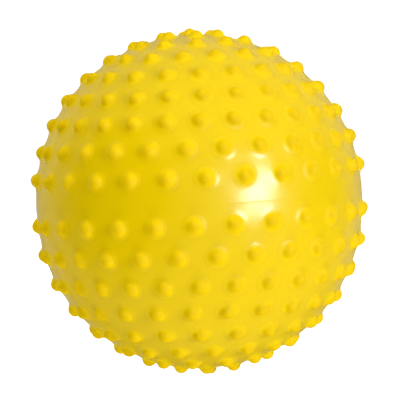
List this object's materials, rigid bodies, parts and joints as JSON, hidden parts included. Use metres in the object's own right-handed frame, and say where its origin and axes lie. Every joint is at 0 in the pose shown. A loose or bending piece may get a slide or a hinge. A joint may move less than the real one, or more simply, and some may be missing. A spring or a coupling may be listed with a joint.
{
  "type": "sensory ball",
  "caption": "Hollow soft ball covered in rounded nubs laid out in rings, with a raised parting line round its middle and a push-in air valve at one pole.",
  "frame": {"origin": "centre of the ball, midway between its poles, a little below the parting line", "axes": "+Z from the valve's pole to the other pole, -Y towards the camera of the picture, +X to that camera's right"},
  "size_m": [0.1801, 0.1802, 0.185],
  "materials": {
    "skin": "satin, faintly pearly",
    "seat": "satin",
    "plug": "satin"
  },
  "bodies": {
    "ball": {"ball_skin": "skin", "valve_seat": "seat"},
    "plug": {"valve_plug": "plug"}
  },
  "joints": [
    {"name": "plug_pull", "type": "slide", "parent": "ball", "child": "plug", "axis": [0, 0, -1], "range_m": [0, 0.018]}
  ]
}
